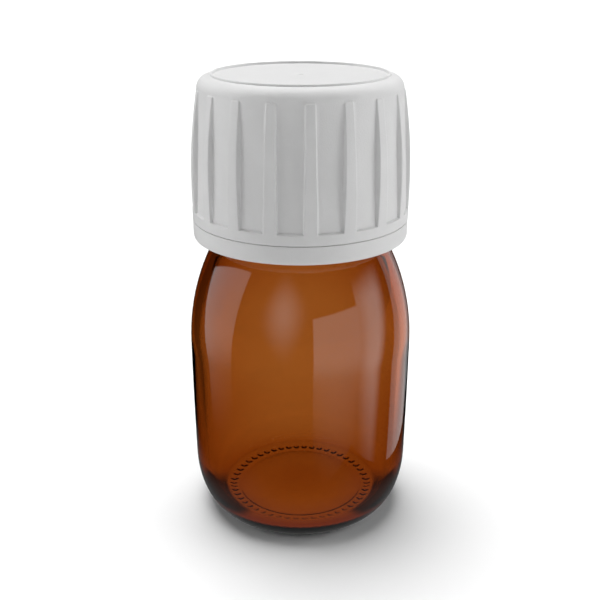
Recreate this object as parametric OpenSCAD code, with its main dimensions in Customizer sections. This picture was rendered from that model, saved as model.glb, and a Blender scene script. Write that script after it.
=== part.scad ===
// Amber glass medicine bottle with a child-resistant, tamper-evident screw closure.
// Millimetres. +Z is up, the origin is at the centre of the base, and the screw axis is Z.

/* [Bottle] */
// Outer diameter of the bottle at its widest
bottle_d = 36.5; // [36.4:0.1:37]
// Height at which the wall starts to curve into the shoulder
wall_top = 30; // [29:0.5:31]
// Radius of the long shoulder curve
shoulder_r = 35; // [34:0.5:37]
// Height from the base to the lip
lip_z = 67.4; // [67.3:0.1:67.5]
// Diameter of the mouth
bore_d = 18; // [17:0.5:18.5]
// Height of the inside of the floor at its edge
floor_t = 2.3; // [2:0.1:2.8]
// How much higher the middle of the floor is than its edge
floor_rise = 1.2; // [0.8:0.1:1.6]
// Glass thickness in the lower wall
low_wall = 1.7; // [1.5:0.1:2.1]
// Glass thickness at the top of the wall
high_wall = 1.4; // [1.2:0.1:1.8]

/* [Neck finish] */
// Diameter of the neck between the thread turns
neck_d = 25.2; // [25:0.1:25.4]
// Diameter over the thread
thread_d = 27.4; // [27.2:0.1:27.5]
// Distance between two turns of the thread
thread_pitch = 3.18; // [3.1:0.02:3.2]
// Number of turns of thread on the neck
thread_turns = 1.5; // [1.25:0.25:1.75]
// Diameter of the bead that holds the tamper band down
bead_d = 28.1; // [27.9:0.1:28.2]

/* [Outer cap] */
// Number of grip ribs
rib_count = 18; // [12:1:24]
// Largest radius over the ribs
rib_r = 17.25; // [17.1:0.05:17.3]
// Height of the cap's raised top rim above the base
cap_top = 73.4; // [73.3:0.1:73.6]
// Thickness of the top panel
cap_panel = 1.3; // [1.1:0.1:1.4]
// Distance that the outer cap can be pressed down
press_stroke = 1; // [0.8:0.1:1]

/* [Tamper band] */
// Height of the band's lower edge above the base
band_low = 48.05; // [47.9:0.05:48.2]
// Outer radius of the band
band_r = 17.12; // [17:0.02:17.2]
// Width of the slit between the outer cap and the band
slit = 0.2; // [0.15:0.05:0.25]
// Number of hooked pawls inside the band
pawl_count = 9; // [6:1:10]
// Number of thin bridges across the slit
bridge_count = 9; // [6:1:12]

/* [Hidden] */
$fn = 96;

// Bottle
bottle_r = bottle_d / 2;
neck_r = neck_d / 2;
bore_r = bore_d / 2;
thread_r = thread_d / 2;
bead_r = bead_d / 2;
heel_w = 4.9;
heel_h = 9.8;
heel_r = bottle_r - 0.2;
belly_z = 24;
shoulder_end = 46.4;
neck_foot = 49.4;
ring_r = 10.6;
push_up = 1.2;
base_arc = 60;
inner_heel_w = 3.9;
neck_wall = 1.9;
bead_low = 52.9;
bead_high = 54.5;
lip_round = 0.8;
thread_foot = lip_z - 1.9 - thread_turns * thread_pitch;
thread_drop = 1.4;

// Cap stack, from the top down
panel_z = cap_top - 0.4;
panel_under = panel_z - cap_panel;
tooth_h = press_stroke - 0.1;
drive_gap = press_stroke + tooth_h + 0.05;
inner_top = panel_under - drive_gap;
inner_panel = 1.1;
inner_under = inner_top - inner_panel;
skin_t = 0.12;
liner_r = 13.55;

// Inner cap
inner_low = 55;
inner_r_low = 14.95;
inner_r_top = 14.6;
flange_r = 15.12;
inner_bore_r = 14;
inner_thread_r = 12.98;

// Outer cap
shoulder_c = 14;
shoulder_fillet = 1.85;
shoulder_z = 71.2;
rib_arc = 80;
rib_wide_z = 57;
rib_top = 71.1;
shell_low = band_low + 2.92;
ledge_z = 52.67;
panel_r_top = 15.82;
panel_r_low = 16.77;
shell_r_low = 17.15;
cavity_r_low = 15.5;
cavity_r_top = 14.95;
rim_in = 13.3;
rim_out = 13.75;
snap_r = 14.72;
snap_low = 53.85;
tooth_count = 12;
tooth_in = 10.6;
tooth_out = 13.2;
tooth_turn = 10;

// Tamper band
band_top = shell_low - slit;
band_in = 15.5;
pawl_tip_r = 13.4;
pawl_tip_z = 52.2;

// Points along a circle arc in the half section, from angle a0 to a1 in n steps
function arc(c_r, c_z, r, a0, a1, n) =
    [for (i = [0:n]) let (a = a0 + (a1 - a0) * i / n) [c_r + r * cos(a), c_z + r * sin(a)]];
// Points along an ellipse arc in the half section
function oval(c_r, c_z, w, h, a0, a1, n) =
    [for (i = [0:n]) let (a = a0 + (a1 - a0) * i / n) [c_r + w * cos(a), c_z + h * sin(a)]];
// Radius of the shoulder curve at height z
function shoulder_at(z) = bottle_r - shoulder_r + sqrt(pow(shoulder_r, 2) - pow(z - wall_top, 2));
// Radius over the ribs at height z
function rib_at(z) = rib_r - rib_arc + sqrt(pow(rib_arc, 2) - pow(z - rib_wide_z, 2));
// Angle at which a curve of radius r has climbed by height h
function climb(r, h) = asin(h / r);

// A helical thread ridge made of short climbing arcs, lower at both ends.
// Each arc laps a little into the next, and every other one is a hair lower, so that they join.
module thread_ridge(root_r, crest_r, low_z, turns, root_w, crest_w) {
    step = 15;
    lap = 2;
    hair = 0.01;
    taper = 3;
    last = floor(turns * 360 / step) - 1;
    for (i = [0:last]) {
        full = min(1, (min(i, last - i) + 1) / taper);
        top_r = root_r + (crest_r - root_r) * (0.4 + 0.6 * full) - hair * (i % 2);
        rotate([0, 0, i * step]) translate([0, 0, low_z + thread_pitch * i * step / 360])
            rotate_extrude(angle = step + lap)
                polygon([[root_r, -root_w / 2], [top_r, -crest_w / 2],
                         [top_r, crest_w / 2], [root_r, root_w / 2]]);
    }
}

// Half section of the glass: the outside upwards, then the inside downwards
function glass_outline() = concat(
    arc(0, push_up - base_arc, base_arc, 90, 90 - climb(base_arc, ring_r), 5),
    [[ring_r + 0.3, 0], [heel_r - heel_w, 0]],
    oval(heel_r - heel_w, heel_h, heel_w, heel_h, -80, 0, 8),
    [[bottle_r, belly_z]],
    arc(bottle_r - shoulder_r, wall_top, shoulder_r, 0,
        climb(shoulder_r, shoulder_end - wall_top), 12),
    [[shoulder_at(shoulder_end) - 0.7, shoulder_end + 0.7], [neck_r + 0.25, neck_foot - 1],
     [neck_r, neck_foot],
     [neck_r, bead_low - 0.3], [bead_r - 0.2, bead_low], [bead_r, bead_low + 0.3],
     [bead_r, bead_high - 0.5], [neck_r, bead_high + 0.5]],
    [[neck_r, lip_z - lip_round]],
    arc(neck_r - lip_round, lip_z - lip_round, lip_round, 15, 90, 5),
    [[bore_r + 0.5, lip_z], [bore_r, lip_z - 0.5], [bore_r, neck_foot + 2.2],
     [bore_r + 0.35, neck_foot], [bore_r + 1.4, neck_foot - 1.6]],
    inner_shoulder(),
    oval(heel_r - low_wall - inner_heel_w, heel_h, inner_heel_w, heel_h - floor_t, 0, -90, 9),
    [for (i = [1:6]) let (f = i / 6)
        [(heel_r - low_wall - inner_heel_w) * (1 - f), floor_t + floor_rise * f * f * (3 - 2 * f)]]);
// Inside of the shoulder from the neck down, thicker towards the neck
function inner_shoulder() =
    [for (i = [0:8]) let (f = i / 8, z = shoulder_end + (wall_top - shoulder_end) * f)
        [bottle_r - shoulder_r + (neck_wall - high_wall) * f * f
         + sqrt(pow(shoulder_r - neck_wall, 2) - pow(z - wall_top, 2)), z]];

module glass_bottle() {
    color([0.55, 0.27, 0.06, 0.6]) union() {
        rotate_extrude() polygon(glass_outline());
        thread_ridge(neck_r - 0.3, thread_r, thread_foot, thread_turns, 2.3, 0.9);
    }
}

module liner_layer(low, thick) {
    translate([0, 0, low]) cylinder(r = liner_r, h = thick);
}
module liner_facing() {
    color("whitesmoke") liner_layer(lip_z, skin_t);
}
module liner_foam() {
    color("white") liner_layer(lip_z + skin_t, inner_under - lip_z - 2 * skin_t);
}
module liner_backing() {
    color("whitesmoke") liner_layer(inner_under - skin_t, skin_t);
}

// Drive teeth in a ring, each with one steep face and one ramp, rising along +Z from z = 0
module drive_ring() {
    half = tooth_in * tan(tooth_turn / 2);
    for (k = [0:tooth_count - 1]) rotate([0, 0, k * 360 / tooth_count])
        translate([tooth_in, 0, -0.2]) rotate([90, 0, 90])
            linear_extrude(tooth_out - tooth_in)
                polygon([[-half, 0], [half, 0], [half, tooth_h + 0.2],
                         [-half * 0.3, tooth_h + 0.2]]);
}

module inner_cap() {
    color("white") union() {
        rotate_extrude() polygon([
            [0, inner_under], [inner_bore_r - 0.3, inner_under], [inner_bore_r, inner_under - 0.3],
            [inner_bore_r, inner_low + 0.4], [inner_bore_r + 0.3, inner_low],
            [flange_r - 0.15, inner_low], [flange_r, inner_low + 0.3], [flange_r, inner_low + 1],
            [inner_r_low, inner_low + 1.3], [inner_r_top, inner_top - 0.5],
            [inner_r_top - 0.5, inner_top], [0, inner_top]]);
        translate([0, 0, inner_top]) drive_ring();
        thread_ridge(inner_bore_r + 0.25, inner_thread_r, thread_foot - thread_drop,
                     thread_turns, 1.3, 0.6);
    }
}

// Six springy leaves on a thin ring, which hold the outer cap up off the inner cap
module spring_fingers() {
    leaf_count = 6;
    rise = drive_gap - 0.05;
    color("gainsboro") union() {
        translate([0, 0, inner_top]) difference() {
            cylinder(r = 9, h = 0.4);
            translate([0, 0, -1]) cylinder(r = 5.6, h = 3);
        }
        for (k = [0:leaf_count - 1]) rotate([0, 0, k * 360 / leaf_count])
            translate([6.1, 0, inner_top]) rotate([90, 0, 90]) linear_extrude(2.4)
                polygon([[-1.6, 0.1], [-0.8, 0.1], [3.4, rise - 0.5], [3.8, rise - 0.4],
                         [3.8, rise], [3, rise], [-1.6, 0.4]]);
    }
}

// Half section of the shell without its ribs
function shell_outline() = concat(
    [[0, panel_z], [rim_in, panel_z], [rim_in + 0.05, cap_top - 0.1],
     [rim_in + 0.15, cap_top], [rim_out - 0.15, cap_top], [rim_out, cap_top - 0.15],
     [rim_out, shoulder_z + shoulder_fillet]],
    arc(shoulder_c, shoulder_z, shoulder_fillet, 90, 0, 8),
    [[panel_r_top, shoulder_z - 0.2], [panel_r_low, ledge_z],
     [shell_r_low - 0.1, ledge_z], [shell_r_low, ledge_z - 0.1],
     [shell_r_low, shell_low + 0.15], [shell_r_low - 0.15, shell_low],
     [cavity_r_low, shell_low], [cavity_r_low - 0.08, snap_low - 0.6],
     [snap_r, snap_low], [snap_r, snap_low + 0.4], [cavity_r_low - 0.12, snap_low + 1],
     [cavity_r_top, panel_under - 0.4], [cavity_r_top - 0.4, panel_under], [0, panel_under]]);
// Half section of the ring that the ribs are cut from
function rib_outline() = concat(
    [[cavity_r_low + 0.4, ledge_z - 0.2], [shell_r_low, ledge_z - 0.2]],
    [for (i = [0:8]) let (z = rib_wide_z + (rib_top - rib_wide_z) * i / 8) [rib_at(z), z]],
    [[panel_r_top - 0.3, rib_top]]);

// The thin upright blades that cut the ribs, wider at the foot
module rib_blades() {
    foot = 1.1;
    head = 0.72;
    for (k = [0:rib_count - 1]) rotate([0, 0, -90 + 5.1 + k * 360 / rib_count])
        translate([15, 0, 0]) rotate([90, 0, 90]) linear_extrude(3)
            polygon([[-foot, ledge_z - 1], [foot, ledge_z - 1],
                     [head, rib_top + 0.5], [-head, rib_top + 0.5]]);
}

module outer_cap() {
    color("white") union() {
        difference() {
            rotate_extrude() polygon(shell_outline());
            translate([0, 0, panel_z - 0.1]) cylinder(r = 0.5, h = 1);
        }
        intersection() {
            rotate_extrude() polygon(rib_outline());
            rib_blades();
        }
        translate([0, 0, panel_under]) rotate([180, 0, 0])
            rotate([0, 0, 180 / tooth_count]) drive_ring();
    }
}

module tamper_band() {
    color("white") rotate_extrude() polygon([
        [band_in, band_top], [band_r - 0.3, band_top], [band_r - 0.08, band_top - 0.1],
        [band_r, band_top - 0.3], [band_r, band_low + 0.5], [band_r - 0.1, band_low + 0.15],
        [band_r - 0.3, band_low], [band_in + 0.2, band_low], [band_in, band_low + 0.2]]);
}

// Hooked flaps that lean in and up from the band's wall to catch under the neck bead
module band_pawls() {
    span = 26;
    color("white") for (k = [0:pawl_count - 1]) rotate([0, 0, k * 360 / pawl_count])
        rotate_extrude(angle = span) polygon([
            [band_in, band_low + 0.4], [band_in, band_low + 1.2],
            [pawl_tip_r + 0.6, pawl_tip_z], [pawl_tip_r, pawl_tip_z - 0.2],
            [pawl_tip_r + 0.1, pawl_tip_z - 0.7]]);
}

// Thin ties that join the band to the outer cap until the first opening
module band_bridges() {
    span = 3;
    color("white") for (k = [0:bridge_count - 1]) rotate([0, 0, 15 + k * 360 / bridge_count])
        rotate_extrude(angle = span) translate([15.8, band_top]) square([0.5, slit]);
}

glass_bottle();
liner_facing();
liner_foam();
liner_backing();
inner_cap();
spring_fingers();
outer_cap();
tamper_band();
band_pawls();
band_bridges();
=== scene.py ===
import math
import bpy
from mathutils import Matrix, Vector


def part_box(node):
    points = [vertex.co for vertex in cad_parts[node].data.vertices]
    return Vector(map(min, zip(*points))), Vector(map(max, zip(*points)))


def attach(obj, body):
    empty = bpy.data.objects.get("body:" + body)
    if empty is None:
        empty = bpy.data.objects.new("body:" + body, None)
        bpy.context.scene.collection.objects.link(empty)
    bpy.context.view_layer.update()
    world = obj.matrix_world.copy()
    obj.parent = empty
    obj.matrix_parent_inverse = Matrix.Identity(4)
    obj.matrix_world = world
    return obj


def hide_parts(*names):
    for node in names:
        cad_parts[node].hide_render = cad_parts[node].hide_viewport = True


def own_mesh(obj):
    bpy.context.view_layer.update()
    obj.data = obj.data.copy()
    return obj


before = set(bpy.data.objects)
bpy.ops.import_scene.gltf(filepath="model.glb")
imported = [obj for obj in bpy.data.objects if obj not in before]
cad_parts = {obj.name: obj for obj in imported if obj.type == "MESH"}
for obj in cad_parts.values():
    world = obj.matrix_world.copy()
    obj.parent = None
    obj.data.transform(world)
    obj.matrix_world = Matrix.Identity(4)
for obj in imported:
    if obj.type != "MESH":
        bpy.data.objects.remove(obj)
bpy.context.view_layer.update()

MM = 0.001
TURN = 2 * math.pi

# ---------------------------------------------------------------- sizes, from the frame
_, BOTTLE_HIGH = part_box("glass_bottle")
SHELL_LOW, SHELL_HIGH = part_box("outer_cap")
BAND_LOW, BAND_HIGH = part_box("tamper_band")
INNER_LOW, INNER_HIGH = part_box("inner_cap")
_, LINER_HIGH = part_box("liner_foam")
SPRING_LOW, SPRING_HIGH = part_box("spring_fingers")

SKIN = 0.01 * MM                              # how far the outer surfaces stay inside the CAD box
BODY_R = BOTTLE_HIGH.x - SKIN
LIP_Z = BOTTLE_HIGH.z - SKIN
CAP_TOP = SHELL_HIGH.z - SKIN
CAP_FOOT = SHELL_LOW.z
BAND_FOOT = BAND_LOW.z
BAND_TOP = BAND_HIGH.z
BAND_R = BAND_HIGH.x - SKIN

# glass: outside, from the base up
WALL_TOP = 30 * MM                            # where the wall turns into the shoulder curve
SHOULDER_R = 35 * MM
HEEL_W = 4.9 * MM
HEEL_H = 9.8 * MM
HEEL_R = BODY_R - 0.2 * MM
NECK_R = 12.6 * MM
BORE_R = 9 * MM
NECK_FOOT = 49.4 * MM
NECK_CURVE = (13.15 * MM, 47.6 * MM)          # corner that is rounded between shoulder and neck
BORE_FOOT = 50.6 * MM
BORE_CURVE = (10.4 * MM, 47.8 * MM)
THREAD_R = 13.7 * MM
THREAD_PITCH = 3.18 * MM
THREAD_TURNS = 1.5
THREAD_START = LIP_Z - 1.9 * MM - THREAD_TURNS * THREAD_PITCH
BEAD_R = 14.05 * MM
BEAD_LOW = 52.9 * MM
BEAD_HIGH = 54.5 * MM
THREAD_FLAT = 0.35 * MM                       # half the width of the thread's crest
THREAD_FLANK = 0.75 * MM
THREAD_FADE = 0.08                            # share of a turn over which the thread's ends fade
LOW_WALL = 1.75 * MM                          # glass thickness at the heel, wall top and shoulder
HIGH_WALL = 1.45 * MM
SHOULDER_WALL = 1.9 * MM
SHOULDER_END = 46.4 * MM
INNER_HEEL_W = 3.4 * MM
FLOOR_LOW = 2.4 * MM                          # inside of the floor at its edge and in its middle
FLOOR_HIGH = 3.5 * MM
PUSH_UP = 1.35 * MM                           # how far the middle of the base is raised
BASE_ARC = 60 * MM
PUSH_UP_R = 10.8 * MM
STIPPLES = 50                                 # little pads on the ring that the bottle stands on
STIPPLE_R = 12.05 * MM
STIPPLE_LONG = 0.9 * MM
STIPPLE_WIDE = 0.64 * MM
STIPPLE_DEEP = 0.45 * MM
STIPPLE_COLUMNS = 12

# outer cap
RIBS = 18
RIB_PHASE = math.radians(-90 + 5.1)
RIB_FOOT_HALF = 1.1 * MM
RIB_HEAD_HALF = 0.72 * MM
RIB_TOP = 71.1 * MM
RIB_ARC = 80 * MM
RIB_WIDE_Z = 57 * MM
LEDGE_Z = 52.67 * MM
RIB_R = SHELL_HIGH.x - SKIN
RIB_MEAN_R = 17 * MM                          # where the ribs' widths are turned into angles
RIB_EDGE = 0.11 * MM                          # half the width of the step at a rib's edge
RIB_CORNER = 0.28 * MM
SHELL_FOOT_R = 17.15 * MM
SHELL_IN = 15.5 * MM                          # inner radius at the foot of the shell, and of the band
PANEL_R_TOP = 15.82 * MM
PANEL_R_LOW = 16.77 * MM
SHOULDER_C = 14 * MM
SHOULDER_Z = 71.2 * MM
FILLET = 1.85 * MM
RIM_IN = 13.3 * MM
RIM_OUT = 13.75 * MM
DISC_Z = CAP_TOP - 0.4 * MM
DISC_UNDER = DISC_Z - 1.3 * MM
UNDER_FLAT_R = 13.9 * MM
SHELL_IN_TOP = 14.95 * MM
SHELL_IN_LOW = 15.36 * MM                     # just over the snap ring
SNAP_R = 14.72 * MM
SNAP_LOW = 53.85 * MM
SNAP_FOOT_R = 15.42 * MM

# inner cap and spring
TEETH = 12
TOOTH_IN = 10.6 * MM
TOOTH_OUT = 13.2 * MM
TOOTH_HIGH = 0.9 * MM
TOOTH_HALF = math.radians(5)
TOOTH_SLOPE = 0.7                             # shares of half a tooth that its two flanks take
TOOTH_STEEP = 0.1
INNER_TOP = SPRING_LOW.z
INNER_UNDER = LINER_HIGH.z + 0.12 * MM
INNER_FOOT = INNER_LOW.z
INNER_BORE = 14 * MM
INNER_R_LOW = 14.95 * MM
INNER_R_TOP = 14.6 * MM
FLANGE_R = INNER_HIGH.x - SKIN
INNER_THREAD_R = 12.98 * MM
THREAD_DROP = 1.4 * MM                        # how far the cap's thread lies under the glass one
INNER_THREAD_FLAT = 0.25 * MM
INNER_THREAD_FLANK = 0.4 * MM
LEAVES = 6
LEAF_R = 6.1 * MM
LEAF_WIDE = 2.4 * MM
LEAF_THICK = 0.32 * MM
LEAF_BACK = 1.6 * MM
LEAF_TIP = 3.8 * MM
SPRING_RING_IN = 5.6 * MM
SPRING_RING_OUT = 9 * MM
SPRING_RING_THICK = 0.4 * MM


# ---------------------------------------------------------------- outlines
def arc(c_r, c_z, r, a0, a1, n):
    """Points on a circle in the half section, angles in degrees."""
    angles = [math.radians(a0 + (a1 - a0) * i / n) for i in range(n + 1)]
    return [(c_r + r * math.cos(a), c_z + r * math.sin(a)) for a in angles]


def line(p, q, n):
    """n equal steps from p to q, without q itself."""
    return [(p[0] + (q[0] - p[0]) * i / n, p[1] + (q[1] - p[1]) * i / n) for i in range(n)]


def rounded(corners, step=12):
    """An open outline whose corners (r, z, radius) are rounded by arcs."""
    out = []
    last = len(corners) - 1
    for i, (r, z, radius) in enumerate(corners):
        if i in (0, last) or radius <= 0:
            out.append((r, z))
            continue
        ax, az = corners[i - 1][0] - r, corners[i - 1][1] - z
        bx, bz = corners[i + 1][0] - r, corners[i + 1][1] - z
        la, lb = math.hypot(ax, az), math.hypot(bx, bz)
        ax, az, bx, bz = ax / la, az / la, bx / lb, bz / lb
        between = math.acos(max(-1, min(1, ax * bx + az * bz)))
        reach = min(radius / math.tan(between / 2), 0.49 * la, 0.49 * lb)
        radius = reach * math.tan(between / 2)
        mx, mz = ax + bx, az + bz
        lm = math.hypot(mx, mz)
        far = radius / math.sin(between / 2)
        cx, cz = r + mx / lm * far, z + mz / lm * far
        start = math.atan2(z + az * reach - cz, r + ax * reach - cx)
        end = math.atan2(z + bz * reach - cz, r + bx * reach - cx)
        sweep = (end - start + math.pi) % TURN - math.pi
        n = max(2, round(abs(math.degrees(sweep)) / step))
        for k in range(n + 1):
            a = start + sweep * k / n
            out.append((cx + radius * math.cos(a), cz + radius * math.sin(a)))
    return out


def steps(a, b, n):
    """n + 1 even values from a to b."""
    return [a + (b - a) * i / n for i in range(n + 1)]


def smooth(t):
    """0 to 1, with level ends."""
    t = max(0.0, min(1.0, t))
    return t * t * (3 - 2 * t)


# ---------------------------------------------------------------- meshes
def lathe(name, outline, around, shape=None):
    """A closed outline in the half section turned about Z. shape(r, z, angle, i) moves a point."""
    verts = []
    rings = []
    for i, (r, z) in enumerate(outline):
        if r < 1e-7:
            rings.append([len(verts)] * around)
            verts.append((0, 0, z))
            continue
        rings.append(range(len(verts), len(verts) + around))
        for j in range(around):
            a = TURN * j / around
            rr, zz, aa = shape(r, z, a, i) if shape else (r, z, a)
            verts.append((rr * math.cos(aa), rr * math.sin(aa), zz))
    faces = []
    count = len(outline)
    for i in range(count):
        low, high = rings[i], rings[(i + 1) % count]
        for j in range(around):
            k = (j + 1) % around
            face = [low[j], low[k], high[k], high[j]]
            flat = [v for n, v in enumerate(face) if v != face[n - 1]]
            if len(flat) > 2:
                faces.append(flat)
    return make(name, verts, faces)


def make(name, verts, faces):
    """A smooth-shaded mesh object with its normals outwards."""
    mesh = bpy.data.meshes.new(name)
    mesh.from_pydata(verts, [], faces)
    mesh.validate()
    obj = bpy.data.objects.new(name, mesh)
    bpy.context.scene.collection.objects.link(obj)
    if volume(mesh) < 0:
        mesh.flip_normals()
    mesh.polygons.foreach_set("use_smooth", [True] * len(mesh.polygons))
    return obj


def volume(mesh):
    """Signed volume of a closed mesh."""
    mesh.calc_loop_triangles()
    total = 0.0
    for t in mesh.loop_triangles:
        a, b, c = (mesh.vertices[v].co for v in t.vertices)
        total += a.dot(b.cross(c))
    return total


# ---------------------------------------------------------------- materials
def material(name, bsdf):
    """A node material with its Principled sockets set, and the node to link to."""
    mat = bpy.data.materials.new(name)
    mat.use_nodes = True
    node = mat.node_tree.nodes["Principled BSDF"]
    for socket, value in bsdf.items():
        node.inputs[socket].default_value = value
    return mat, mat.node_tree, node


def object_coords(tree):
    """Places in the object's own frame, in metres."""
    return tree.nodes.new("ShaderNodeTexCoord").outputs["Object"]


def noise(tree, coords, scale, detail=2.0, rough=0.5):
    """Noise, 0 to 1; scale is in lumps per metre."""
    node = tree.nodes.new("ShaderNodeTexNoise")
    node.inputs["Scale"].default_value = scale
    node.inputs["Detail"].default_value = detail
    node.inputs["Roughness"].default_value = rough
    tree.links.new(coords, node.inputs["Vector"])
    return node.outputs["Fac"]


def ramp(tree, fac, stops):
    """A colour ramp; stops are (place, colour)."""
    node = tree.nodes.new("ShaderNodeValToRGB")
    elements = node.color_ramp.elements
    while len(elements) < len(stops):
        elements.new(0.5)
    for element, (place, colour) in zip(elements, stops):
        element.position = place
        element.color = (*colour, 1)
    tree.links.new(fac, node.inputs["Fac"])
    return node.outputs["Color"]


def spread(tree, fac, low, high):
    """Maps 0..1 to low..high."""
    node = tree.nodes.new("ShaderNodeMapRange")
    node.inputs["To Min"].default_value = low
    node.inputs["To Max"].default_value = high
    tree.links.new(fac, node.inputs["Value"])
    return node.outputs["Result"]


def maths(tree, operation, *values):
    """A Math node; each value is a number or an output."""
    node = tree.nodes.new("ShaderNodeMath")
    node.operation = operation
    feed(tree, node.inputs, values)
    return node.outputs["Value"]


def feed(tree, sockets, values):
    """Links or sets each socket."""
    for socket, value in zip(sockets, values):
        if isinstance(value, bpy.types.NodeSocket):
            tree.links.new(value, socket)
        else:
            socket.default_value = value


def blend_value(tree, share, low, high):
    """low where share is 0, high where it is 1."""
    node = tree.nodes.new("ShaderNodeMix")
    feed(tree, node.inputs[:1] + node.inputs[2:4], (share, low, high))
    return node.outputs["Result"]


def bump(tree, height, distance, under=None):
    """A normal from a height; under is a broader bump that it rides on."""
    node = tree.nodes.new("ShaderNodeBump")
    node.inputs["Distance"].default_value = distance
    tree.links.new(height, node.inputs["Height"])
    if under:
        tree.links.new(under, node.inputs["Normal"])
    return node.outputs["Normal"]


def amber_glass():
    """Clear amber: the colour comes from absorption, so thick glass is darker."""
    mat, tree, node = material("amber_glass", {
        "Base Color": (1, 1, 1, 1), "IOR": 1.52, "Transmission Weight": 1.0})
    coords = object_coords(tree)
    waves = noise(tree, coords, 70, 1.0)
    tree.links.new(bump(tree, waves, 0.006 * MM), node.inputs["Normal"])
    haze = noise(tree, coords, 400, 3.0)
    tree.links.new(spread(tree, haze, 0.0, 0.012), node.inputs["Roughness"])
    soak = tree.nodes.new("ShaderNodeVolumeAbsorption")
    soak.inputs["Color"].default_value = (0.731, 0.435, 0.0, 1)
    soak.inputs["Density"].default_value = 1330
    out = tree.nodes["Material Output"]
    tree.links.new(soak.outputs["Volume"], out.inputs["Volume"])
    return mat


def moulded_white(name, tone, rough, grain):
    """Satin polypropylene: a fine grain, faint mottling and uneven gloss."""
    mat, tree, node = material(name, {"Roughness": rough, "IOR": 1.49})
    coords = object_coords(tree)
    mottle = noise(tree, coords, 180, 4.0, 0.6)
    dark = tuple(c * 0.965 for c in tone)
    tree.links.new(ramp(tree, mottle, [(0.3, dark), (0.7, tone)]), node.inputs["Base Color"])
    fine = noise(tree, coords, 5200, 2.0, 0.6)
    tree.links.new(spread(tree, fine, rough - 0.06, rough + 0.06), node.inputs["Roughness"])
    broad = bump(tree, noise(tree, coords, 260, 2.0), 0.012 * MM)
    tree.links.new(bump(tree, fine, grain, under=broad), node.inputs["Normal"])
    return mat


# ---------------------------------------------------------------- glass
def shoulder_at(z):
    """Outer radius of the shoulder curve."""
    return BODY_R - SHOULDER_R + math.sqrt(SHOULDER_R ** 2 - (z - WALL_TOP) ** 2)


def wall_at(z):
    """Outer radius of the nearly straight wall, slightly fuller upwards."""
    t = (z - HEEL_H) / (WALL_TOP - HEEL_H)
    return HEEL_R + (BODY_R - HEEL_R) * (1 - (1 - t) ** 2)


def glass_outside():
    """From the middle of the base up to the lip and a little way into the mouth."""
    base = [(r, PUSH_UP - BASE_ARC + math.sqrt(BASE_ARC ** 2 - r ** 2))
            for r in steps(0, PUSH_UP_R, 16)]
    heel_c = HEEL_R - HEEL_W
    lift = math.asin(STIPPLE_DEEP / HEEL_H - 1)
    heel = [(heel_c + HEEL_W * math.cos(a), HEEL_H + HEEL_H * math.sin(a)) for a in steps(lift, 0, 26)]
    ring = [(r, STIPPLE_DEEP) for r in steps(PUSH_UP_R + 0.1 * MM, heel[0][0], 28)]
    wall = [(wall_at(z), z) for z in steps(HEEL_H, WALL_TOP, 20)]
    shoulder = [(shoulder_at(z), z) for z in steps(WALL_TOP, SHOULDER_END, 26)]
    neck = rounded([
        shoulder[-1] + (0,), (*NECK_CURVE, 2.5 * MM), (NECK_R, NECK_FOOT, 3 * MM),
        (NECK_R, BEAD_LOW - 0.2 * MM, 0.4 * MM), (BEAD_R, BEAD_LOW + 0.1 * MM, 0.4 * MM),
        (BEAD_R, BEAD_HIGH - 0.3 * MM, 0.6 * MM), (NECK_R, BEAD_HIGH + 0.6 * MM, 0.8 * MM),
        (NECK_R, THREAD_START - 1.5 * MM, 0)])
    thread = line((NECK_R, THREAD_START - 1.4 * MM), (NECK_R, LIP_Z - 0.85 * MM), 44)
    lip = rounded([(NECK_R, LIP_Z - 0.8 * MM, 0), (NECK_R, LIP_Z, 0.75 * MM),
                   (BORE_R, LIP_Z, 0.6 * MM), (BORE_R, LIP_Z - 1.2 * MM, 0)])
    return base + ring[:-1] + heel + wall[1:] + shoulder[1:] + neck[1:] + thread + lip


def inner_shoulder_at(z):
    """Follows the outer shoulder, with the glass a little thinner lower down."""
    thinner = (SHOULDER_WALL - HIGH_WALL) * smooth((SHOULDER_END - z) / (SHOULDER_END - WALL_TOP))
    radius = SHOULDER_R - SHOULDER_WALL
    return BODY_R - SHOULDER_R + math.sqrt(radius ** 2 - (z - WALL_TOP) ** 2) + thinner


def glass_inside():
    """From the mouth down to the middle of the floor."""
    shoulder = [(inner_shoulder_at(z), z) for z in steps(SHOULDER_END, WALL_TOP, 20)]
    bore = rounded([(BORE_R, LIP_Z - 2 * MM, 0), (BORE_R, BORE_FOOT, 4 * MM),
                    (*BORE_CURVE, 4 * MM), shoulder[0] + (0,)], 6)
    low_r = HEEL_R - LOW_WALL
    wall = line(shoulder[-1], (low_r, HEEL_H), 14)
    heel_c = low_r - INNER_HEEL_W
    heel_h = HEEL_H - FLOOR_LOW
    heel = [(heel_c + INNER_HEEL_W * math.cos(a), HEEL_H + heel_h * math.sin(a))
            for a in steps(0, -TURN / 4, 20)]
    floor = [(heel_c * (1 - f), FLOOR_LOW + (FLOOR_HIGH - FLOOR_LOW) * smooth(f))
             for f in steps(0, 1, 14)]
    return bore[:-1] + shoulder[:-1] + wall + heel + floor[1:]


def thread_height(angle, z, start, flat, flank):
    """How far a helical thread stands out at this place, 0 to 1."""
    best = 0.0
    turned = angle / TURN
    for whole in range(int(THREAD_TURNS) + 1):
        turns = turned + whole
        if turns > THREAD_TURNS:
            continue
        off = abs(z - start - turns * THREAD_PITCH)
        ridge = 1 - smooth((off - flat) / flank)
        ends = smooth(turns / THREAD_FADE) * smooth((THREAD_TURNS - turns) / THREAD_FADE)
        best = max(best, ridge * ends)
    return best


def stipple(angle, r):
    """Height, 0 to 1, of the ring of little pads that the bottle stands on."""
    pitch = TURN / STIPPLES
    off = (angle + pitch / 2) % pitch - pitch / 2
    across = off * r / STIPPLE_WIDE
    along = (r - STIPPLE_R) / STIPPLE_LONG
    return 1 - smooth(math.hypot(across, along))


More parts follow.
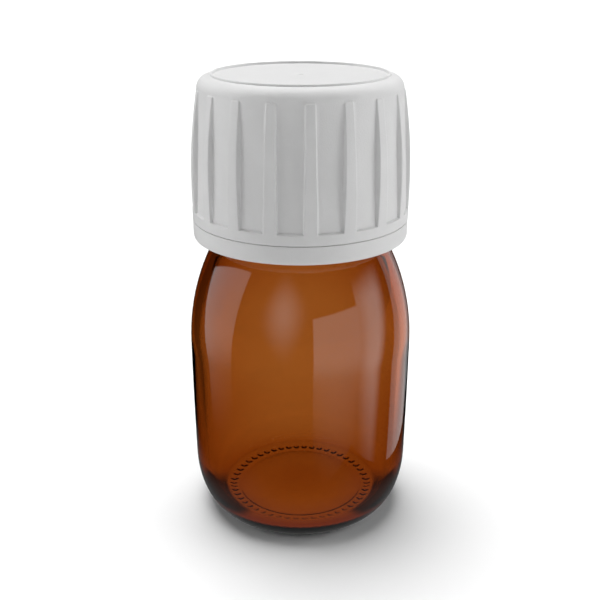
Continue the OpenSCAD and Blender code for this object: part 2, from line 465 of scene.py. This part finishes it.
def amber_bottle():
    """The bottle: one closed skin, outside and inside, with the neck's thread and the base's pads."""
    outside = glass_outside()
    outline = outside + glass_inside()
    edge = len(outside)

    def shape(r, z, a, i):
        if i < edge and THREAD_START - 1.5 * MM < z < LIP_Z - 0.8 * MM:
            rise = thread_height(a, z, THREAD_START, THREAD_FLAT, THREAD_FLANK)
            r += (THREAD_R - NECK_R) * rise
        if i < edge and z < STIPPLE_DEEP + SKIN:
            z -= STIPPLE_DEEP * stipple(a, r)
        return r, z, a

    return lathe("amber_bottle", outline, STIPPLE_COLUMNS * STIPPLES, shape)


# ---------------------------------------------------------------- outer cap
def rib_r_at(z):
    """Radius over the ribs above their widest place."""
    return RIB_R - RIB_ARC + math.sqrt(RIB_ARC ** 2 - (z - RIB_WIDE_Z) ** 2)


def shell_r_at(z):
    """Radius over the ribs and over the plain band at the foot."""
    if z > RIB_WIDE_Z:
        return rib_r_at(z)
    t = (z - CAP_FOOT) / (RIB_WIDE_Z - CAP_FOOT)
    return SHELL_FOOT_R + (RIB_R - SHELL_FOOT_R) * smooth(t)


def panel_r_at(z):
    """Radius of the panels between the ribs."""
    t = (z - LEDGE_Z) / (SHOULDER_Z - LEDGE_Z)
    return PANEL_R_LOW + (PANEL_R_TOP - PANEL_R_LOW) * t


def rib_half_at(z):
    """Half the width of a rib."""
    t = (z - LEDGE_Z) / (RIB_TOP - LEDGE_Z)
    return RIB_FOOT_HALF + (RIB_HEAD_HALF - RIB_FOOT_HALF) * max(0.0, min(1.0, t))


def proud(side, z):
    """1 on a rib or the foot band, 0 on a panel, with a rounded step between."""
    over = side - rib_half_at(z) + RIB_CORNER
    up = z - RIB_TOP + RIB_CORNER
    rib = math.hypot(max(over, 0), max(up, 0)) + min(max(over, up), 0) - RIB_CORNER
    foot = z - LEDGE_Z
    near = min(rib, foot)
    return 1 - smooth((near + RIB_EDGE) / (2 * RIB_EDGE))


# places of the columns across half a rib and then half a panel, close together at the rib's edge
RIB_STEPS = [0, 0.45, 0.75, 0.88, 0.94, 0.97, 1.0, 1.03, 1.06, 1.12, 1.25]
PANEL_STEPS = [0.2, 0.4, 0.6, 0.8, 1.0]


def shell_columns():
    """Columns of half a rib pitch: (share of the rib's half width, share of the panel's half)."""
    return [(s, 0) for s in RIB_STEPS] + [(RIB_STEPS[-1], p) for p in PANEL_STEPS]


def column_angle(column, z, r):
    """How far a column stands from the middle of its rib."""
    half_pitch = TURN / RIBS / 2
    rib = column[0] * rib_half_at(z) / r
    edge = RIB_STEPS[-1] * rib_half_at(z) / r
    return rib + column[1] * (half_pitch - edge)


def tooth_rows(z):
    """Radii across the drive teeth, close together at their two ends."""
    return [(r, z) for r in (TOOTH_IN - 0.1 * MM, TOOTH_IN, TOOTH_IN + 0.1 * MM, TOOTH_OUT - 0.1 * MM,
                             TOOTH_OUT, TOOTH_OUT + 0.1 * MM)]


def tooth_height(angle, r, way):
    """Height of the drive teeth, steep on one flank and sloping on the other."""
    if not TOOTH_IN - 0.05 * MM < r < TOOTH_OUT + 0.05 * MM:
        return 0.0
    pitch = TURN / TEETH
    off = way * ((angle + pitch / 2) % pitch - pitch / 2) / TOOTH_HALF
    slope = max(0.0, min(1.0, (1 + off) / TOOTH_SLOPE))
    steep = max(0.0, min(1.0, (1 - off) / TOOTH_STEEP))
    return TOOTH_HIGH * slope * steep


def shell_outline():
    """Outside and inside of the shell, and where the rows that the ribs shape begin and end."""
    heights = [0, 0.04, 0.08, 0.15, 0.4, 0.9, 1.4]
    foot = [(shell_r_at(CAP_FOOT + h * MM) - 0.06 * MM * max(0, 1 - h / 0.08), CAP_FOOT + h * MM)
            for h in heights]
    ledge = [LEDGE_Z + d * MM for d in (-0.16, -0.1, -0.06, -0.02, 0.02, 0.06, 0.1, 0.16, 0.3)]
    side = [LEDGE_Z + 0.3 * MM + (RIB_TOP - LEDGE_Z - 1.0 * MM) * i / 22 for i in range(1, 23)]
    head = [RIB_TOP + d * MM for d in
            (-0.5, -0.36, -0.28, -0.22, -0.16, -0.1, -0.05, 0, 0.05, 0.1)]
    skirt = [(SHELL_FOOT_R, z) for z in ledge + side + head]
    top = arc(SHOULDER_C, SHOULDER_Z, FILLET, 0, 90, 12)
    rim = rounded([(SHOULDER_C, SHOULDER_Z + FILLET, 0), (RIM_OUT, SHOULDER_Z + FILLET, 0.06 * MM),
                   (RIM_OUT - 0.03 * MM, CAP_TOP, 0.1 * MM), (RIM_IN + 0.06 * MM, CAP_TOP, 0.1 * MM),
                   (RIM_IN, DISC_Z, 0.06 * MM), (RIM_IN - 1 * MM, DISC_Z, 0)], 20)
    disc = [(r * MM, DISC_Z) for r in (10, 7, 4, 2, 1, 0.62)]
    gate = [(0.5 * MM, DISC_Z - 0.1 * MM), (0.36 * MM, DISC_Z - 0.3 * MM),
            (0.2 * MM, DISC_Z - 0.22 * MM), (0, DISC_Z - 0.05 * MM)]
    outside = foot + skirt + top[1:] + rim[1:] + disc + gate
    inside = [(0, DISC_UNDER)] + tooth_rows(DISC_UNDER) + rounded([
        (UNDER_FLAT_R, DISC_UNDER, 0), (SHELL_IN_TOP, DISC_UNDER, 0.4 * MM),
        (SHELL_IN_LOW, SNAP_LOW + 1 * MM, 0.3 * MM), (SNAP_R, SNAP_LOW + 0.4 * MM, 0.2 * MM),
        (SNAP_R, SNAP_LOW, 0.2 * MM), (SNAP_FOOT_R, SNAP_LOW - 0.6 * MM, 0.3 * MM),
        (SHELL_IN, CAP_FOOT, 0.12 * MM), (SHELL_FOOT_R - 0.6 * MM, CAP_FOOT, 0)])
    return outside, inside, len(foot), len(foot) + len(skirt)


def outer_shell():
    """The outer cap: ribs and panels outside, drive teeth and snap ring inside."""
    outside, inside, first, last = shell_outline()
    half = shell_columns()
    pitch = TURN / RIBS
    places = []
    for k in range(RIBS):
        places += [(k, 1, c) for c in half[:-1]]
        places += [(k + 1, -1, c) for c in reversed(half[1:])]
    outline = outside + inside

    def shape(r, z, a, i):
        j = round(a / TURN * len(places)) % len(places)
        k, way, column = places[j]
        step = column_angle(column, max(LEDGE_Z, min(RIB_TOP, z)), RIB_MEAN_R)
        if i < first or i >= last:
            angle = RIB_PHASE + k * pitch + way * step
            if i >= len(outside):
                z -= tooth_height(angle + TURN / TEETH / 2, r, -1)
            return r, z, angle
        base = panel_r_at(z)
        full = shell_r_at(z)
        side = step * full
        radius = base + (full - base) * proud(side, z)
        return radius, z, RIB_PHASE + k * pitch + way * step

    return lathe("cap_shell", outline, len(places), shape)


# ---------------------------------------------------------------- band
def tamper_ring():
    """The band under the cap."""
    top = BAND_TOP + 0.1 * MM                 # the band's top edge stands up into half of the slit
    middle = (BAND_FOOT + BAND_TOP) / 2
    outline = rounded([
        (SHELL_IN, middle, 0), (SHELL_IN, top, 0.1 * MM),
        (BAND_R, top, 0.06 * MM), (BAND_R, BAND_FOOT + 0.5 * MM, 0.5 * MM),
        (BAND_R - 0.12 * MM, BAND_FOOT, 0.26 * MM), (SHELL_IN, BAND_FOOT, 0.2 * MM),
        (SHELL_IN, middle - SKIN, 0)])
    return lathe("tamper_ring", outline, 288)


# ---------------------------------------------------------------- inner cap and spring
def inner_thread_cap():
    """The cap that screws on the glass: threaded bore, flange, and drive teeth on its top."""
    bore = line((INNER_BORE, INNER_UNDER - 0.3 * MM), (INNER_BORE, INNER_FOOT + 0.5 * MM), 56)
    foot = rounded([(INNER_BORE, INNER_FOOT + 0.4 * MM, 0), (INNER_BORE + 0.15 * MM, INNER_FOOT, 0.2 * MM),
                    (FLANGE_R, INNER_FOOT, 0.2 * MM), (FLANGE_R, INNER_FOOT + 1.1 * MM, 0.2 * MM),
                    (INNER_R_LOW, INNER_FOOT + 1.3 * MM, 0.1 * MM), (INNER_R_TOP, INNER_TOP, 0.5 * MM),
                    (TOOTH_OUT + 0.4 * MM, INNER_TOP, 0)])
    top = list(reversed(tooth_rows(INNER_TOP))) + [(0, INNER_TOP)]
    under = [(0, INNER_UNDER), (INNER_BORE - 0.4 * MM, INNER_UNDER),
             (INNER_BORE - 0.1 * MM, INNER_UNDER - 0.1 * MM)]
    outline = under + bore + foot + top
    threaded = range(len(under), len(under) + len(bore))

    def shape(r, z, a, i):
        if i in threaded:
            rise = thread_height(a, z, THREAD_START - THREAD_DROP, INNER_THREAD_FLAT, INNER_THREAD_FLANK)
            r -= (INNER_BORE - INNER_THREAD_R) * rise
        if i > len(under) and r < TOOTH_OUT + 0.2 * MM:
            z += tooth_height(a, r, 1)
        return r, z, a

    return lathe("inner_thread_cap", outline, 480, shape)


def spring_leaves():
    """A flat ring with springy leaves that rise to the underside of the outer shell."""
    top = INNER_TOP + SPRING_RING_THICK
    middle = (SPRING_RING_IN + SPRING_RING_OUT) / 2
    ring = lathe("spring_leaves", rounded([
        (middle, INNER_TOP, 0), (SPRING_RING_OUT, INNER_TOP, 0.1 * MM), (SPRING_RING_OUT, top, 0.12 * MM),
        (SPRING_RING_IN, top, 0.12 * MM), (SPRING_RING_IN, INNER_TOP, 0.1 * MM)]), 120)
    verts = [tuple(v.co) for v in ring.data.vertices]
    faces = [tuple(p.vertices) for p in ring.data.polygons]
    for k in range(LEAVES):
        leaf(verts, faces, TURN * k / LEAVES)
    bpy.data.objects.remove(ring)
    return make("spring_leaves", verts, faces)


def leaf(verts, faces, turn):
    """One leaf: a thin strip whose middle line rises in an easy curve to a level tip."""
    climb = SPRING_HIGH.z - INNER_TOP - LEAF_THICK - 0.12 * MM
    sections = 16
    first = len(verts)
    for i in range(sections + 1):
        t = i / sections
        along = -LEAF_BACK + (LEAF_BACK + LEAF_TIP) * t
        low = INNER_TOP + 0.1 * MM + climb * smooth((t - 0.15) / 0.8)
        for side, up in ((0, 0), (1, 0), (1, 1), (0, 1)):
            x = LEAF_R + side * LEAF_WIDE
            verts.append((x * math.cos(turn) - along * math.sin(turn),
                          x * math.sin(turn) + along * math.cos(turn), low + up * LEAF_THICK))
    for i in range(sections):
        low, high = first + 4 * i, first + 4 * (i + 1)
        for n in range(4):
            m = (n + 1) % 4
            faces.append((low + n, low + m, high + m, high + n))
    faces.append((first + 3, first + 2, first + 1, first))
    last = first + 4 * sections
    faces.append((last, last + 1, last + 2, last + 3))


# ---------------------------------------------------------------- stage
SOFT = [(0, 0), (0.5, 1), (1, 0)]             # fades from the middle of a card to both edges


def glow(name, level, across, upright):
    """A light-giving material; across and upright are (place, share of the level) stops."""
    mat = bpy.data.materials.new(name)
    mat.use_nodes = True
    tree = mat.node_tree
    tree.nodes.clear()
    split = tree.nodes.new("ShaderNodeSeparateXYZ")
    tree.links.new(tree.nodes.new("ShaderNodeTexCoord").outputs["UV"], split.inputs["Vector"])
    fades = []
    for axis, stops in (("X", across), ("Y", upright)):
        fade = ramp(tree, split.outputs[axis], [(place, (share,) * 3) for place, share in stops])
        fade.node.color_ramp.interpolation = "EASE"
        fades.append(fade)
    light = tree.nodes.new("ShaderNodeEmission")
    strength = maths(tree, "MULTIPLY", maths(tree, "MULTIPLY", *fades), level)
    tree.links.new(strength, light.inputs["Strength"])
    tree.links.new(light.outputs["Emission"], tree.nodes.new("ShaderNodeOutputMaterial").inputs["Surface"])
    return mat


def plane(name, centre, turn, size, mat, rays, roll=0):
    """A stage rectangle that only the named rays see; roll tips it in its own plane."""
    w, h = size[0] / 2, size[1] / 2
    c, s = math.cos(roll), math.sin(roll)
    corners = [(c * x - s * y, s * x + c * y, 0) for x, y in ((-w, -h), (w, -h), (w, h), (-w, h))]
    obj = sheet_of(name, corners, 1, mat, rays)
    obj.location = centre
    obj.rotation_euler = turn


def sheet_of(name, corners, parts, mat, rays):
    """A stage sheet between four corners, in parts by parts faces, that only the named rays see."""
    def place(u, v):
        low = [a + (b - a) * u for a, b in zip(corners[0], corners[1])]
        high = [a + (b - a) * u for a, b in zip(corners[3], corners[2])]
        return [a + (b - a) * v for a, b in zip(low, high)]

    side = parts + 1
    points = [(i / parts, j / parts) for j in range(side) for i in range(side)]
    faces = [(j * side + i, j * side + i + 1, (j + 1) * side + i + 1, (j + 1) * side + i)
             for j in range(parts) for i in range(parts)]
    mesh = bpy.data.meshes.new(name)
    mesh.from_pydata([place(u, v) for u, v in points], [], faces)
    uv = mesh.uv_layers.new(name="card")
    for loop in mesh.loops:
        uv.data[loop.index].uv = points[loop.vertex_index]
    mesh.materials.append(mat)
    obj = bpy.data.objects.new(name, mesh)
    bpy.context.scene.collection.objects.link(obj)
    for ray in ("camera", "diffuse", "glossy", "transmission", "volume_scatter", "shadow"):
        setattr(obj, "visible_" + ray, ray in rays)
    return obj


def card(name, heading, away, z, size, level, across, upright, roll=0):
    """An upright softbox at a heading from the front, in degrees, anticlockwise from above."""
    a = math.radians(heading)
    centre = (away * math.sin(a), -away * math.cos(a), z)
    plane(name, centre, (math.radians(90), 0, a + math.pi), size,
          glow(name, level, across, upright), ("glossy",), math.radians(roll))


def side_card(name, x, corners, level, across, upright):
    """An upright softbox square to the X axis; its corners are (y, z), low front one first."""
    sheet_of(name, [(x, y, z) for y, z in corners], 12, glow(name, level, across, upright), ("glossy",))


def near_sheen():
    """A faint sheen on the floor under the object that only reflections see."""
    stops = [(0, 0), (0.25, 1), (0.75, 1), (1, 0)]
    plane("near_sheen", (0, 0, -0.3 * MM), (0, 0, 0), (0.068, 0.068),
          glow("near_sheen", 0.15, stops, stops), ("glossy",))


def white_floor():
    """The floor, its duller twin that lights the object, and the glowing sheet with painted shade and
    light that the glass shows.
    """
    span = (24, 24)
    for name, z, tone, rays in (("floor", 0, 0.92, ("camera",)),
                                ("floor_bounce", -0.1 * MM, 0.75, ("diffuse", "shadow"))):
        mat, _, _ = material(name, {"Base Color": (tone, tone, tone, 1), "Roughness": 1.0,
                                    "Specular IOR Level": 0.0})
        plane(name, (0, 0, z), (0, 0, 0), span, mat, rays)
    # a glowing sheet under the floor that only the glass sees, with painted shade, painted light and a
    # painted contact shadow on it
    plane("floor_sheet", (0, 0, -0.2 * MM), (0, 0, 0), span, painted_light_sheet(), ("transmission",))


def painted_light_sheet():
    """A glowing sheet that only the glass sees: white, with a painted contact shadow beside the heel,
    painted shade behind to the left and painted light behind to the right.
    """
    brightest = 3.0                           # the shares below are of this level
    # levels of the plain white, the painted shade behind to the left, the painted light behind to the
    # right and the painted contact shadow beside the heel
    white, dark, painted_light, shadow = (level / brightest for level in (1.0, 0.4, 2.1, 0.12))
    mat, tree, node = material("floor_painted_light_and_shade", {"Base Color": (0, 0, 0, 1), "Specular IOR Level": 0.0,
                                             "Emission Color": (1, 1, 1, 1)})
    coords = object_coords(tree)
    split = tree.nodes.new("ShaderNodeSeparateXYZ")
    tree.links.new(coords, split.inputs["Vector"])
    x, y = split.outputs["X"], split.outputs["Y"]
    aside = maths(tree, "ABSOLUTE", x)
    length = tree.nodes.new("ShaderNodeVectorMath")
    length.operation = "LENGTH"
    tree.links.new(coords, length.inputs[0])
    away = length.outputs["Value"]

    drift = -0.42                             # the two sectors open out with distance
    slant = maths(tree, "MULTIPLY_ADD", y, drift, aside)
    angle = maths(tree, "ARCTAN2", y, aside)
    # the two sectors behind the bottle that carry the painted shade on the left and the painted light on
    # the right
    behind = maths(tree, "MULTIPLY", share_of(tree, slant, 25 * MM, 38 * MM),
                   share_of(tree, angle, math.radians(5), math.radians(25)))
    side = blend_value(tree, share_of(tree, x, -5 * MM, 5 * MM), dark, painted_light)
    far = blend_value(tree, behind, white, side)

    # a painted contact shadow in a ring beside the heel, at the front on both sides
    heel = maths(tree, "MULTIPLY", share_of(tree, aside, 9 * MM, 12 * MM),
                 share_of(tree, y, 6 * MM, 0))
    heel = maths(tree, "MULTIPLY", heel, share_of(tree, away, 13 * MM, 15 * MM))
    heel = maths(tree, "MULTIPLY", heel, share_of(tree, away, 27 * MM, 24 * MM))
    level = blend_value(tree, heel, far, shadow)
    tree.links.new(maths(tree, "MULTIPLY", level, brightest), node.inputs["Emission Strength"])
    return mat


def share_of(tree, value, none, full):
    """0 to 1, smoothly, as a value goes from none to full."""
    node = tree.nodes.new("ShaderNodeMapRange")
    node.interpolation_type = "SMOOTHSTEP"
    feed(tree, node.inputs[:3], (value, none, full))
    return node.outputs["Result"]


def sky():
    """An even surround: white to the camera, and dim where it lights the object or the glass."""
    world = bpy.data.worlds.new("studio")
    bpy.context.scene.world = world
    world.use_nodes = True
    tree = world.node_tree
    light, through = 0.07, 0.05               # strength as light, and through the glass
    path = tree.nodes.new("ShaderNodeLightPath")
    level = spread(tree, path.outputs["Is Transmission Ray"], light, through)
    back = tree.nodes["Background"]
    back.inputs["Color"].default_value = (1, 1, 1, 1)
    seen = maths(tree, "MULTIPLY_ADD", path.outputs["Is Camera Ray"], 1 - light, level)
    tree.links.new(seen, back.inputs["Strength"])
    world.cycles_visibility.glossy = False


def sun(name, strength, tilt, heading, angle):
    """A far, wide light: tilt from overhead, heading from +X and width, in degrees."""
    data = bpy.data.lights.new(name, "SUN")
    data.energy = strength
    data.angle = math.radians(angle)
    obj = bpy.data.objects.new(name, data)
    obj.rotation_euler = (0, math.radians(tilt), math.radians(heading))
    obj.visible_glossy = False
    obj.visible_transmission = False
    bpy.context.scene.collection.objects.link(obj)


def camera():
    """Close in front, a little above the cap, looking down at the body."""
    look_down = 20.97
    data = bpy.data.cameras.new("camera")
    data.lens = 56.52
    data.sensor_width = 36
    data.clip_start = 0.01
    obj = bpy.data.objects.new("camera", data)
    obj.location = (-0.00005, -0.146, 0.0922)
    obj.rotation_euler = (math.radians(90 - look_down), 0, 0)
    bpy.context.scene.collection.objects.link(obj)
    bpy.context.scene.camera = obj


def studio():
    """Camera, floor, soft lights, and the softboxes that the glass mirrors."""
    camera()
    white_floor()
    sky()
    sun("top_light", 3.3, 16, 112, 44)
    sun("left_light", 1.05, 72, 180, 50)
    sun("right_light", 1.6, 72, 0, 50)
    side_card("left_box", -0.5, [(-0.135, -0.27), (0.14, -0.27), (0.32, 0.08), (-0.262, 0.315)], 1.45,
              [(0, 0), (0.05, 1), (0.95, 1), (1, 0)], [(0, 0), (0.5, 0.8), (0.98, 1), (1, 0)])
    side_card("right_box", 0.5, [(-0.27, -0.34), (-0.03, -0.34), (0.17, 0.2), (-0.27, 0.28)], 2.1,
              [(0, 0.6), (0.45, 1), (0.6, 1), (1, 0)], [(0, 0), (0.35, 1), (0.75, 1), (1, 0)])
    side_card("back_right_box", 0.5, [(0.13, -0.4), (1.2, -0.6), (1.2, 0.2), (0.23, 0.3)], 1.0,
              [(0, 0), (0.02, 0.6), (0.1, 0.65), (0.14, 0.85), (0.5, 0.85), (0.7, 0.4), (1, 0.3)],
              [(0, 0), (0.1, 1), (0.8, 1), (1, 0)])
    card("front_panel", 37, 0.53, -0.105, (0.5, 0.49), 1.4,
         [(0, 1), (0.95, 1), (1, 0)], [(0, 0), (0.55, 1), (0.97, 1), (1, 0)])
    card("lamp", -17, 0.5, 0.14, (0.44, 0.48), 1.5, SOFT, SOFT, roll=38)
    near_sheen()
    scene = bpy.context.scene
    scene.view_settings.view_transform = "Standard"
    scene.cycles.caustics_refractive = False
    scene.cycles.caustics_reflective = False
    scene.cycles.transparent_max_bounces = 16
    scene.cycles.transmission_bounces = 16    # a ray can cross many walls of glass
    scene.cycles.max_bounces = 20


# ---------------------------------------------------------------- the object
def dress(obj, mat, body=None, node=None):
    """Gives a piece its material and, if it stands for a CAD node, parents it to its body and hides that
    CAD node.
    """
    obj.data.materials.clear()
    obj.data.materials.append(mat)
    if body:
        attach(obj, body)
        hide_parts(node)
    return obj


glass = amber_glass()
cap_white = moulded_white("cap_white", (0.74, 0.74, 0.74), 0.48, 0.03 * MM)
inner_white = moulded_white("inner_white", (0.7, 0.71, 0.7), 0.4, 0.008 * MM)
film = moulded_white("film_white", (0.78, 0.78, 0.77), 0.28, 0.004 * MM)
foam = moulded_white("foam_white", (0.8, 0.8, 0.79), 0.7, 0.05 * MM)

studio()
dress(amber_bottle(), glass, "bottle", "glass_bottle")
dress(outer_shell(), cap_white, "shell", "outer_cap")
dress(tamper_ring(), cap_white, "band", "tamper_band")
dress(inner_thread_cap(), inner_white, "threaded_cap", "inner_cap")
spring = dress(spring_leaves(), inner_white, "spring", "spring_fingers")
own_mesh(spring)
for node_name, mat in (("liner_facing", film), ("liner_foam", foam), ("liner_backing", film),
                       ("band_pawls", cap_white), ("band_bridges", cap_white)):
    dress(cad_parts[node_name], mat)
